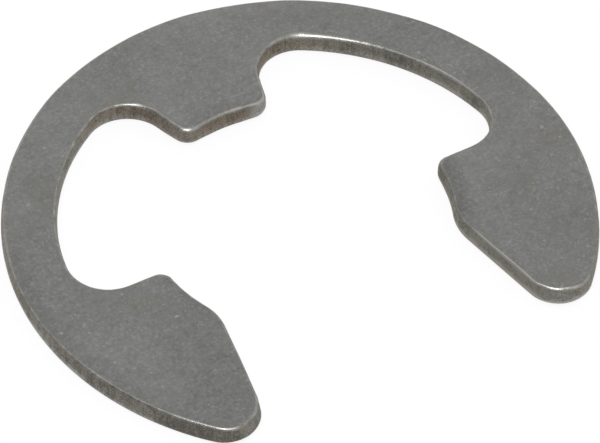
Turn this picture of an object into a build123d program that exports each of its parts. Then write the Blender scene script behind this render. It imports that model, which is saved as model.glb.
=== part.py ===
from build123d import *
from math import cos, radians, sin, sqrt, tan
import os

# External E-clip, or E-ring, for a 7/8 inch shaft, modelled in millimetres.
#
# The clip is one blank of spring steel strip. It is pushed sideways into a groove in a shaft, where its
# prong and two lugs grip, and its rim stands proud as a shoulder. The origin is on the shaft's axis, on
# the face that went into the die first, with +Z through the thickness. The mouth opens towards -Y.

# Strip and rim
outer_diameter = 33.02  # 1.300 in
thickness = 1.27  # 0.050 in

# Groove seat: the circle on which the prong's tip and the two lugs end, with the clip off its shaft
seat_diameter = 17.0
prong_half_angle = 17.8  # the prong's flanks point at the shaft's axis

# Windows beside the prong, which leave the arms slender enough to spring open
arm_width = 3.17  # from the window out to the rim
window_rise = 0.13  # each window's arc is struck from this far above the shaft's axis

# Mouth between the lugs, before their corners are rounded
mouth_width = 14.8  # where the mouth meets the seat circle
lead_in_angle = 10.65  # each side's flare towards the open end

# Radii of the outline's corners
prong_tip_radius = 0.85
window_top_radius = 2.35
window_bottom_radius = 2.3
lug_heel_radius = 0.75  # between the window and the seat
lug_toe_radius = 3.25  # between the seat and the mouth
lug_end_radius = 1.9  # between the mouth and the rim

# Edge section. Shearing leaves each of these in proportion to the strip's thickness.
roll_over_radius = 0.235 * thickness  # the lower rim, drawn down into the die
break_height = 0.62 * thickness  # the torn band above the smooth burnished one
break_setback = 0.07 * thickness  # the torn band leans in by the punch's clearance
edge_break = 0.093 * thickness  # the upper rim, where tumbling has taken off the burr

outer_radius = outer_diameter / 2
seat_radius = seat_diameter / 2
window_radius = outer_radius - arm_width
window_depth = window_radius - seat_radius  # two roundings share each side of a window
flank_angle = 90 - prong_half_angle
lug_toe = (mouth_width / 2, -sqrt(seat_radius**2 - (mouth_width / 2) ** 2))


def polar(radius, angle):
    """The point at this distance from the shaft's axis and this angle from +X."""
    return radius * cos(radians(angle)), radius * sin(radians(angle))


def on_lead_in(y):
    """The point on the right-hand side of the mouth at this height."""
    return lug_toe[0] + (lug_toe[1] - y) * tan(radians(lead_in_angle)), y


def round_corners(sketch, point, radius):
    """Round the outline's corner nearest this point, and its twin across the Y axis."""
    x, y = point
    fillet([sketch.vertices().sort_by_distance((side * x, y))[0] for side in (1, -1)], radius)


# The right-hand window lies between the lug's heel, along the X axis, and the prong's flank.
with BuildSketch() as window:
    with Locations((0, window_rise)):
        Circle(window_radius)
    with BuildLine():
        Polyline(
            (0, 0),
            (outer_diameter, 0),
            polar(2 * outer_diameter, flank_angle / 2),
            polar(outer_diameter, flank_angle),
            close=True,
        )
    make_face(mode=Mode.INTERSECT)

# The mouth runs from inside the seat circle out past the rim.
with BuildSketch() as mouth:
    with BuildLine():
        half = Polyline((0, 0), on_lead_in(0), on_lead_in(-outer_diameter), (0, -outer_diameter))
        mirror(half, about=Plane.YZ)
    make_face()

# The blank's outline, rounded at its twelve corners
with BuildSketch() as blank:
    Circle(outer_radius)
    Circle(seat_radius, mode=Mode.SUBTRACT)
    add(window.sketch, mode=Mode.SUBTRACT)
    add(mirror(window.sketch, about=Plane.YZ, mode=Mode.PRIVATE), mode=Mode.SUBTRACT)
    add(mouth.sketch, mode=Mode.SUBTRACT)
    lug_end = blank.vertices().sort_by(Axis.Y)[0]
    round_corners(blank, polar(seat_radius, flank_angle), prong_tip_radius)
    round_corners(blank, polar(window_radius, flank_angle), min(window_top_radius, window_depth / 2))
    round_corners(blank, polar(window_radius, 0), min(window_bottom_radius, window_depth / 2))
    round_corners(blank, polar(seat_radius, 0), lug_heel_radius)
    round_corners(blank, lug_toe, lug_toe_radius)
    round_corners(blank, (lug_end.X, lug_end.Y), lug_end_radius)

# The clip is the outline struck from strip, with the edge that shearing and tumbling leave.
with BuildPart() as e_clip:
    add(blank.sketch)
    extrude(amount=thickness)
    top_face = e_clip.faces().sort_by(Axis.Z)[-1]
    chamfer(top_face.edges(), length=break_setback, length2=break_height, reference=top_face)
    chamfer(e_clip.faces().sort_by(Axis.Z)[-1].edges(), edge_break)
    fillet(e_clip.faces().sort_by(Axis.Z)[0].edges(), roll_over_radius)

e_clip.part.label = "e_clip"
os.makedirs("parts", exist_ok=True)
export_step(e_clip.part, "parts/e_clip.step")
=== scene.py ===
from math import cos, pi, radians, sin

import bmesh
import bpy
from mathutils import Matrix, Vector, noise


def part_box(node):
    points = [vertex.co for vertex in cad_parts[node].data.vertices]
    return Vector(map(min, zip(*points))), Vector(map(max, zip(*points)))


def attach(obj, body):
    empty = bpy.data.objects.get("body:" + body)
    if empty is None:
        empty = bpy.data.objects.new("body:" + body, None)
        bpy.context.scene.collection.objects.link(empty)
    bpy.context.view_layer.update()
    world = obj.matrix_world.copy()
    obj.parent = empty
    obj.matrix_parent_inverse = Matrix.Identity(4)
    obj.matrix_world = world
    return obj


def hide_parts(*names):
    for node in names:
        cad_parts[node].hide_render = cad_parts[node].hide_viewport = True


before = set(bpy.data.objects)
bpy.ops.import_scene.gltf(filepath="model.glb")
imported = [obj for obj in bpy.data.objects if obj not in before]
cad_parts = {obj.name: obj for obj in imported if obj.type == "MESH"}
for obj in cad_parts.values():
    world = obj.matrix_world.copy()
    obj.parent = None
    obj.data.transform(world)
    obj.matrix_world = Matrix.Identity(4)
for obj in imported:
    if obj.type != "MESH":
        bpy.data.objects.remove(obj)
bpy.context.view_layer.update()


# ---- The clip -------------------------------------------------------------------------------------------
# One blank of spring steel strip, sheared to its outline and then hardened and tumbled. The edge keeps
# what the shears left: from the lower face up, the roll-over, a smooth burnished land, and a rough torn
# band that leans in. Tumbling has rounded the upper rim and polished it.

MM = 0.001
low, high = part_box("e_clip")
thickness = high.z - low.z
roll_over = 0.235 * thickness
land_top = 0.38 * thickness
torn_setback = 0.07 * thickness
torn_wave = 0.06 * thickness
torn_roughness = 0.012 * thickness
rim_round = 0.155 * thickness

# A tight corner draws a deeper roll-over and leans in less. The toes lean in more on their mouth side.
corner_deeper, corner_steeper = 0.75, 0.8
mouth_setback = 0.075 * thickness

# A worn rim is rounder. The punch sat a little off the die's middle, so the strip tore steeper on the
# side that faces tight_side, and the rim is tighter there but rounds more where it is worn.
worn_rounder = 0.8
tight_side = complex(-0.52, -0.85)
tight_steeper, tight_smaller, tight_worn_rounder = 0.5, 0.23, 0.5
tight_mouth_setback = 0.035 * thickness

# The flat faces begin a little further in than the rounds beside them end.
flat_margin = 1.25


def outline_points(node, level):
    """The points of the node's mesh at this height, in order round the outline, as complex numbers."""
    same_height = 0.0005 * MM
    mesh = node.data
    neighbours = {}
    for edge in mesh.edges:
        ends = [mesh.vertices[i].co for i in edge.vertices]
        if all(abs(end.z - level) < same_height for end in ends):
            a, b = [complex(round(end.x, 8), round(end.y, 8)) for end in ends]
            neighbours.setdefault(a, set()).add(b)
            neighbours.setdefault(b, set()).add(a)
    first = max(neighbours, key=lambda p: p.imag)
    loop = [first, min(neighbours[first], key=lambda p: p.real)]
    while loop[-1] != first:
        (onward,) = neighbours[loop[-1]] - {loop[-2]}
        loop.append(onward)
    return loop[:-1]


def resampled(loop, step):
    """Points at about this step along the smooth outline, each with its outward direction.

    Every stretch is a line or an arc, and each runs smoothly into the next. So a chord makes the same
    angle with the outline at both its ends, which gives each end's heading from the one before it.
    """
    heading = 1j * loop[0] / abs(loop[0])
    found = []
    for a, b in zip(loop, loop[1:] + loop[:1]):
        chord = b - a
        along = chord / abs(chord)
        onward = along * along * heading.conjugate()
        start, end = heading * abs(chord), onward * abs(chord)
        parts = max(1, round(abs(chord) / step))
        for k in range(parts):
            t = k / parts
            at = (
                (2 * t**3 - 3 * t**2 + 1) * a
                + (t**3 - 2 * t**2 + t) * start
                + (3 * t**2 - 2 * t**3) * b
                + (t**3 - t**2) * end
            )
            slope = (
                (6 * t**2 - 6 * t) * (a - b)
                + (3 * t**2 - 4 * t + 1) * start
                + (3 * t**2 - 2 * t) * end
            )
            found.append((at, -1j * slope / abs(slope)))
        heading = onward
    return found


def ramp(value, start, end):
    """0 below start and 1 above end, with a smooth slope between."""
    share = min(max((value - start) / (end - start), 0.0), 1.0)
    return share * share * (3 - 2 * share)


def ripple(x, y, per_mm, layer):
    """Smooth noise over the plan, with about this many waves to the mm. Each use has its own layer."""
    return noise.noise((per_mm * x, per_mm * y, layer))


def quarter_turn(steps=8):
    """How far a unit arc has moved aside and ahead at each of these steps through a right angle."""
    angles = [k / steps * pi / 2 for k in range(steps + 1)]
    return [(1 - cos(angle), sin(angle)) for angle in angles]


def section(at, out, wear, corner):
    """(inset, height) of each ring of the sheared edge at this point, from the lower face to the upper."""
    x, y = at.real / MM, at.imag / MM
    tight = ramp((out * tight_side.conjugate()).real, -0.3, 0.3)
    mouth_side = ramp(-y, 10.4, 11.2) * (1 - ramp(abs(x), 9.8, 11.0))

    uneven = 0.5 * ripple(x, y, 0.35, 61.5) + 0.06 * ripple(x, y, 2.6, 6.0)
    radius = rim_round * (1 - tight_smaller * tight) * (1 + uneven)
    radius = radius * (1 + (worn_rounder + tight_worn_rounder * tight) * wear)
    drawn = roll_over * (1 + corner_deeper * corner)
    setback = torn_setback * (1 - tight_steeper * tight) * (1 - corner_steeper * corner)
    setback = setback + (mouth_setback + tight_mouth_setback * tight) * mouth_side
    ragged = ripple(x, y, 1.3, 4.0) + 0.6 * ripple(x, y, 4.1, 9.0)
    least_land = 0.02 * thickness
    torn_from = max(land_top + torn_wave * ragged, drawn + least_land)
    torn_to = thickness - radius

    rings = [(drawn * flat_margin, 0.0)]
    for aside, ahead in quarter_turn():
        rings.append((drawn * (1 - ahead), drawn * aside))
    rings.append((0.0, (drawn + torn_from) / 2))
    rings.append((0.0, torn_from))
    tear_steps = 7
    for k in range(1, tear_steps):
        share = k / tear_steps
        tear = torn_roughness * noise.noise((5 * x, 5 * y, 3 * share))
        rings.append((max(setback * share + tear, 0.0), torn_from + (torn_to - torn_from) * share))
    for aside, ahead in quarter_turn():
        rings.append((setback + radius * aside, torn_to + radius * ahead))
    rings.append((setback + radius * flat_margin, thickness))
    return rings


# The spacing of the outline's points. The spans are the points each way that a corner or a hollow is
# measured over, and that its wear is spread over.
point_step = 0.15 * MM
corner_span, hollow_span, wear_span = 8, 20, 4
left_head_wear = 0.4


def turning(outline, i, span):
    """How fast the outline turns left here, in radians to the mm, over this many points each way."""
    (start, before), (end, after) = outline[i - span], outline[(i + span) % len(outline)]
    return (after * before.conjugate()).imag / abs(end - start) * MM


def window_head(outline, i, side, begins, ends):
    """1 in the head of the window on this side, which is 1 for the right and -1 for the left.

    It fades in and out over these distances from the middle, in mm.
    """
    x, y = side * outline[i][0].real / MM, outline[i][0].imag / MM
    hollow = ramp(-turning(outline, i, hollow_span), 0.02, 0.06) * ramp(y, 7, 9)
    return hollow * ramp(x, *begins) * (1 - ramp(x, *ends))


def clip_mesh(outline):
    """The clip as one closed mesh: rings of faces round the sheared edge, and flat faces above and below."""
    corners, wears = [], []
    for i in range(len(outline)):
        corner = turning(outline, i, corner_span)
        right_head = window_head(outline, i, 1, (5.4, 7.1), (8.8, 10.8))
        left_head = window_head(outline, i, -1, (2.8, 3.6), (5.0, 6.5))
        corners.append(ramp(corner, 0.20, 0.55))
        wears.append(max(ramp(corner, 0.30, 0.70), right_head, left_head_wear * left_head))

    bm = bmesh.new()
    worn = bm.verts.layers.float.new("rim_wear")
    columns = []
    for i, (at, out) in enumerate(outline):
        nearby = [(i + k) % len(outline) for k in range(-wear_span, wear_span + 1)]
        corner = sum(corners[k] for k in nearby) / len(nearby)
        wear = sum(wears[k] for k in nearby) / len(nearby)
        column = []
        for inset, height in section(at, out, wear, corner):
            place = at - out * inset
            vert = bm.verts.new((place.real, place.imag, low.z + height))
            vert[worn] = wear
            column.append(vert)
        columns.append(column)
    for column, onward in zip(columns, columns[1:] + columns[:1]):
        for k in range(len(column) - 1):
            bm.faces.new((column[k], onward[k], onward[k + 1], column[k + 1]))
    for ring in (0, -1):
        border = [column[ring] for column in columns]
        edges = [bm.edges.get(pair) for pair in zip(border, border[1:] + border[:1])]
        bmesh.ops.triangle_fill(bm, edges=edges, use_beauty=True)
    bmesh.ops.recalc_face_normals(bm, faces=bm.faces)
    for face in bm.faces:
        face.smooth = True
    mesh = bpy.data.meshes.new("struck_clip")
    bm.to_mesh(mesh)
    bm.free()
    return mesh


class Wire:
    """A node's output. Sums, products and the like of wires and numbers add Math nodes."""

    def __init__(self, socket):
        self.socket = socket

    @classmethod
    def node(cls, tree, kind, settings=(), output=0, **inputs):
        """Add a node, set it up, feed its sockets with values or wires, and give its output, if any.

        A socket goes by its name, with _ for a space, or by its number, such as s0 for the first.
        """
        made = tree.nodes.new("ShaderNode" + kind)
        for name, value in dict(settings).items():
            setattr(made, name, value)
        for name, value in inputs.items():
            key = int(name[1:]) if name[1:].isdigit() else name.replace("_", " ")
            if isinstance(value, Wire):
                tree.links.new(value.socket, made.inputs[key])
            else:
                made.inputs[key].default_value = value
        return cls(made.outputs[output]) if made.outputs else None

    def math(self, operation, a, b):
        return Wire.node(self.socket.id_data, "Math", {"operation": operation}, s0=a, s1=b)

    def vector(self, operation, output="Vector", **inputs):
        """Vector Math on this wire, for a vector, or with the output Value for a number."""
        tree = self.socket.id_data
        return Wire.node(tree, "VectorMath", {"operation": operation}, output, s0=self, **inputs)

    def __add__(self, other):
        return self.math("ADD", self, other)

    def __sub__(self, other):
        return self.math("SUBTRACT", self, other)

    def __rsub__(self, other):
        return self.math("SUBTRACT", other, self)

    def __mul__(self, other):
        return self.math("MULTIPLY", self, other)

    def __truediv__(self, other):
        return self.math("DIVIDE", self, other)

    __radd__ = __add__
    __rmul__ = __mul__

    def step(self, start, end):
        """0 below start and 1 above end, with a smooth slope between."""
        tree = self.socket.id_data
        smooth = {"interpolation_type": "SMOOTHSTEP"}
        return Wire.node(tree, "MapRange", smooth, Value=self, From_Min=start, From_Max=end)

    def larger(self, other):
        return self.math("MAXIMUM", self, other)


def blend(factor, a, b):
    """The colour a where the factor is 0 and b where it is 1."""
    tree = factor.socket.id_data
    return Wire.node(tree, "Mix", {"data_type": "RGBA"}, 2, s0=factor, s6=a, s7=b)


def colour(red, green, blue):
    """A colour as a socket takes it, with nothing see-through."""
    return (red, green, blue, 1.0)


def empty_tree(owner):
    """The node tree of a material or a world, with no nodes in it yet."""
    owner.use_nodes = True
    owner.node_tree.nodes.clear()
    return owner.node_tree


def spring_steel():
    """Tumbled spring steel: a dull fine-grained face, a polished rim and a brown torn band."""
    material = bpy.data.materials.new("tumbled_spring_steel")
    tree = empty_tree(material)

    place = Wire.node(tree, "TexCoord", output="Object")
    mm = place.vector("SCALE", Scale=1 / MM)
    height = Wire.node(tree, "SeparateXYZ", output="Z", Vector=mm)
    normal = Wire.node(tree, "NewGeometry", output="Normal")
    facing_up = Wire.node(tree, "SeparateXYZ", output="Z", Vector=normal)
    wear = Wire.node(tree, "Attribute", {"attribute_name": "rim_wear"}, "Fac")
    from_axis = mm.vector("LENGTH", "Value")

    def mottle(scale, detail=3.0, roughness=0.6, vector=mm):
        """Cloudy noise around 0.5, with this scale to the mm."""
        return Wire.node(tree, "TexNoise", Vector=vector, Scale=scale, Detail=detail, Roughness=roughness)

    def away_from(x, y):
        """The distance from this place in the plan, about half way up, in millimetres."""
        half_way = 0.6
        return mm.vector("DISTANCE", "Value", s1=(x, y, half_way))

    def around(x, y, near, far):
        """1 within near of this place in the plan, and 0 beyond far, in millimetres."""
        return 1 - away_from(x, y).step(near, far)

    fine = mottle(11.0, 2.0, 0.7)

    def dings(scale, share, size):
        """Scattered bright marks, on this share of the cells of a grid of points with scale to the mm."""
        cell = {"voronoi_dimensions": "2D"}
        away = Wire.node(tree, "TexVoronoi", cell, "Distance", Vector=mm, Scale=scale)
        chance = Wire.node(tree, "TexVoronoi", cell, "Color", Vector=mm, Scale=scale)
        draw = Wire.node(tree, "SeparateColor", output="Red", Color=chance)
        depth = Wire.node(tree, "SeparateColor", output="Green", Color=chance)
        edge = away / scale + (fine - 0.5) * 4.0 * size
        chosen = draw.step(1 - share, 1 - share + 0.001)
        return (1 - edge.step(size * 0.3, size)) * chosen * depth

    # The face: cloudy at a few millimetres, grainy at a tenth, with small bright dings and brown stains.
    # Painted shade darkens it by the seat and the left rim; painted light lightens the far side and the
    # right arm.
    clouds = mottle(0.30, 3.0)
    blotches = mottle(1.6, 2.0)
    grain = mottle(4.6, 3.0, 0.75)
    crests = grain.step(0.56, 0.80)
    clusters = mottle(0.5, 1.0).step(0.42, 0.60)
    flecks = mottle(7.5, 1.0).step(0.62, 0.80) * clusters + mottle(3.6, 2.0).step(0.66, 0.86)
    bright = flecks * 0.7 + dings(0.7, 0.16, 0.09) + dings(0.33, 0.25, 0.13)

    seat_border = 1 - from_axis.step(8.7, 10.0)
    rim_border = from_axis.step(15.1, 16.3)
    # Painted shade: the face is darkened along the seat's border, most at the right lug's heel, and along
    # the left rim.
    painted_shade_by_seat = seat_border * (0.15 + around(8.2, -2.5, 2.0, 4.5) * 0.22)
    painted_shade_left_rim = rim_border * around(-15.5, -2.5, 5.0, 10.0) * 0.15
    # Painted light: the face is lightened along the far rim, behind the prong and on the right arm.
    painted_light_far_rim = rim_border * around(6.5, 15.2, 3.0, 7.0) * 0.20
    painted_light_far_and_right = around(-2.0, 14.5, 6.0, 15.0) * 0.08 + around(14.0, 2.0, 3.0, 8.5) * 0.08
    greasy = around(-9.0, -9.5, 1.0, 4.5) * 0.15

    face_tone = (clouds - 0.5) * 0.5 + (blotches - 0.5) * 0.55 + (grain - 0.5) * 1.3 + crests * 0.45 + 0.44
    face_tone = face_tone + painted_light_far_rim + painted_light_far_and_right - painted_shade_by_seat - painted_shade_left_rim - greasy
    face = blend(face_tone, colour(0.138, 0.137, 0.1325), colour(0.270, 0.269, 0.2595))
    stain = mottle(0.22, 3.0).step(0.50, 0.70)
    face = blend(stain * 0.35, face, colour(0.165, 0.160, 0.142))
    face = blend(bright * 0.7, face, colour(0.40, 0.40, 0.39))

    # The sheared wall: brown and streaked where it tore, grey on the land and the roll-over below.
    # Tumbling has scoured the outside more than the windows, and the prong's root is brownest.
    stretched = mm.vector("MULTIPLY", s1=(1.0, 1.0, 0.24))
    streaks = mottle(4.2, 3.0, 0.7, stretched)
    patches = mottle(0.7, 4.0)
    hue = mottle(0.45, 1.0)
    ragged = (mottle(1.3, 3.0, 0.7) - 0.5) * 0.7
    scoured = from_axis.step(12.0, 16.2)
    browned = 1 - (away_from(0.0, 10.0) + (hue - 0.5) * 7).step(6.5, 10.0)
    soiled = around(-13.0, -9.0, 3.5, 7.5) * 0.35 + around(-11.8, -11.4, 1.5, 4.5) * 0.65
    # The wall is lighter near the right toe: scraped steel, and on the land a painted reflection of the
    # white floor.
    scrape_and_painted_reflection = around(8.0, -8.8, 2.5, 5.8)

    tone = (streaks - 0.5) * 2.0 + (patches - 0.5) * 1.9 + (fine - 0.5) * 3.6 + 0.56
    tone = tone - soiled * 0.35 + scrape_and_painted_reflection * 0.2
    brown = blend(tone, colour(0.124, 0.103, 0.080), colour(0.272, 0.234, 0.186))
    olive = blend(tone, colour(0.115, 0.112, 0.094), colour(0.251, 0.246, 0.208))
    scuffed = blend(tone, colour(0.137, 0.127, 0.109), colour(0.288, 0.270, 0.237))
    torn_steel = blend(scoured * 0.8, blend(browned, olive, brown), scuffed)

    land_tone = tone + scrape_and_painted_reflection * 0.95 - 0.06
    stained_land = blend(land_tone, colour(0.120, 0.108, 0.090), colour(0.258, 0.237, 0.205))
    bare_land = blend(land_tone, colour(0.145, 0.141, 0.130), colour(0.318, 0.313, 0.296))
    torn = (height + ragged + soiled * 0.35).step(0.38, 0.62)
    wall = blend(torn, blend(scoured, stained_land, bare_land), torn_steel)

    # The rim: bare where tumbling polished it, and brightest where it is worn most. At the prong's two
    # corners the wall below it is bare as well.
    prong_corners = around(2.8, 8.8, 0.9, 1.9) + around(-2.5, 8.5, 0.8, 1.6) * 0.25
    # Painted highlights lighten the rim near the right toe and on the right arm.
    painted_highlight_toe = around(8.1, -9.2, 2.0, 4.8) * 0.65
    painted_highlight_arm = around(12.3, 4.7, 1.2, 3.3) * 0.6
    # The rim is made darker on the right toe's outer side and at the right lug's heel.
    darker_toe_rim = around(13.6, -9.0, 2.0, 3.8) * 0.35
    darker_heel_rim = around(8.2, -2.5, 1.5, 3.5) * 0.4
    scuffs = mottle(1.8, 4.0, 0.7)
    nicks = mottle(2.7, 2.0).step(0.58, 0.72)
    rim_tone = (scuffs - 0.5) * 2.2 + (fine - 0.5) * 1.2 + nicks * 0.45 + wear * 0.1 + 0.40
    rim_tone = rim_tone + prong_corners * 0.4 + painted_highlight_toe + painted_highlight_arm - darker_toe_rim - darker_heel_rim
    rim = blend(rim_tone, colour(0.182, 0.176, 0.158), colour(0.345, 0.338, 0.313))

    above = facing_up.step(0.02, 0.60).larger(prong_corners)
    level = facing_up.step(0.955, 0.999) + (0 - facing_up).step(0.93, 0.998)
    steel = blend(level, blend(above, wall, rim), face)

    rough_wall = 0.46 + torn * 0.26
    rough_rim = 0.35 - wear * 0.03 + (scuffs - 0.5) * 0.30
    rough_face = 0.52 + (grain - 0.5) * 0.25 - bright * 0.15
    roughness = rough_wall + (rough_rim - rough_wall) * facing_up.step(0.40, 0.80)
    roughness = roughness + (rough_face - roughness) * level

    relief = (grain - bright * 0.5) * level + (streaks * (0.8 + torn) + fine * 0.5) * (1 - level)
    bumped = Wire.node(tree, "Bump", Strength=0.5, Distance=0.012 * MM, Height=relief)

    shader = Wire.node(
        tree, "BsdfPrincipled", Base_Color=steel, Metallic=1.0, Roughness=roughness, Normal=bumped
    )
    Wire.node(tree, "OutputMaterial", Surface=shader)
    return material


outline = resampled(outline_points(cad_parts["e_clip"], roll_over), point_step)
clip = bpy.data.objects.new("struck_clip", clip_mesh(outline))
bpy.context.scene.collection.objects.link(clip)
clip.data.materials.append(spring_steel())
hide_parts("e_clip")
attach(clip, "root")


# ---- The floor and the light ----------------------------------------------------------------------------
# A white paper sweep under the clip, in a white tent that lights it evenly from all round, but for its
# opening to the left of the camera. One softbox hangs high above the camera and gives the polished rim
# its glints.

middle = (low + high) / 2
camera_azimuth = radians(-31.289)
lamp_azimuth, lamp_elevation = camera_azimuth - radians(6.5), radians(60)
lamp_distance = 0.30
opening_azimuth, opening_elevation = camera_azimuth - radians(28), radians(5.7106)
opening_core, opening_edge = radians(34), radians(75)
opening_depth = 0.95
tent_level = 0.9
paper_size = 6.0
paper_gap = 0.02 * MM
paper_glow = 0.88
white = colour(1.0, 1.0, 1.0)


def toward(azimuth, elevation):
    """The direction to this azimuth, turned from straight out of the clip's mouth, and this elevation."""
    return Vector((sin(azimuth) * cos(elevation), -cos(azimuth) * cos(elevation), sin(elevation)))


def seen_rays(tree):
    """1 for the rays of the camera, of metal and of glass, which all see the white."""
    kinds = ("Is Camera Ray", "Is Glossy Ray", "Is Transmission Ray")
    camera_ray, glossy_ray, glass_ray = [Wire.node(tree, "LightPath", output=kind) for kind in kinds]
    return camera_ray.larger(glossy_ray.larger(glass_ray))


def white_paper():
    """White paper that shows as plain white and still keeps a shadow."""
    material = bpy.data.materials.new("white_paper")
    tree = empty_tree(material)
    sheet = Wire.node(tree, "BsdfDiffuse", Color=colour(0.86, 0.86, 0.86))
    glow = Wire.node(tree, "Emission", Color=white, Strength=1.0)
    mixed = Wire.node(tree, "MixShader", s0=seen_rays(tree) * paper_glow, s1=sheet, s2=glow)
    Wire.node(tree, "OutputMaterial", Surface=mixed)
    return material


bpy.ops.mesh.primitive_plane_add(size=paper_size, location=(middle.x, middle.y, low.z - paper_gap))
floor = bpy.context.object
floor.name = "paper_sweep"
floor.data.materials.append(white_paper())

tent = bpy.data.worlds.new("white_tent")
bpy.context.scene.world = tent
tree = empty_tree(tent)
direction = Wire.node(tree, "TexCoord", output="Generated")
facing = direction.vector("DOT_PRODUCT", "Value", s1=toward(opening_azimuth, opening_elevation))
dark = facing.step(cos(opening_edge), cos(opening_core))
eye = Wire.node(tree, "LightPath", output="Is Camera Ray")
strength = (tent_level + (1 - tent_level) * seen_rays(tree)) * (1 - opening_depth * dark * (1 - eye))
backing = Wire.node(tree, "Background", Color=white, Strength=strength)
Wire.node(tree, "OutputWorld", Surface=backing)

softbox = bpy.data.lights.new("softbox", "AREA")
softbox.shape = "RECTANGLE"
softbox.size, softbox.size_y = 0.12, 0.14
softbox.energy = 0.6
softbox.color = (0.96, 0.98, 1.0)
lamp = bpy.data.objects.new("softbox", softbox)
bpy.context.scene.collection.objects.link(lamp)
lamp_side = toward(lamp_azimuth, lamp_elevation)
lamp.location = middle + lamp_side * lamp_distance
lamp.rotation_mode = "QUATERNION"
lamp.rotation_quaternion = lamp_side.to_track_quat("Z", "Y")


# ---- The camera -----------------------------------------------------------------------------------------
# A long lens, looking down on the clip from the left of its mouth, a little rolled. It aims at a point
# near the shaft's axis.

camera_elevation, roll = radians(47.462), radians(1.985)
aim = Vector((0.260, 0.467, 0.0)) * MM
camera_distance = 442.8 * MM
back = toward(camera_azimuth, camera_elevation)
right = (-back).cross(Vector((0, 0, 1))).normalized()
up = right.cross(-back)
tilted_right = right * cos(roll) + up * sin(roll)
tilted_up = up * cos(roll) - right * sin(roll)

lens = bpy.data.cameras.new("camera")
lens.lens = 480.8
lens.sensor_width = 36.0
lens.clip_start, lens.clip_end = 0.01, 10.0
camera = bpy.data.objects.new("camera", lens)
bpy.context.scene.collection.objects.link(camera)
turned = Matrix((tilted_right, tilted_up, back)).transposed()
camera.matrix_world = Matrix.Translation(aim + back * camera_distance) @ turned.to_4x4()
bpy.context.scene.camera = camera

bpy.context.scene.view_settings.view_transform = "Standard"
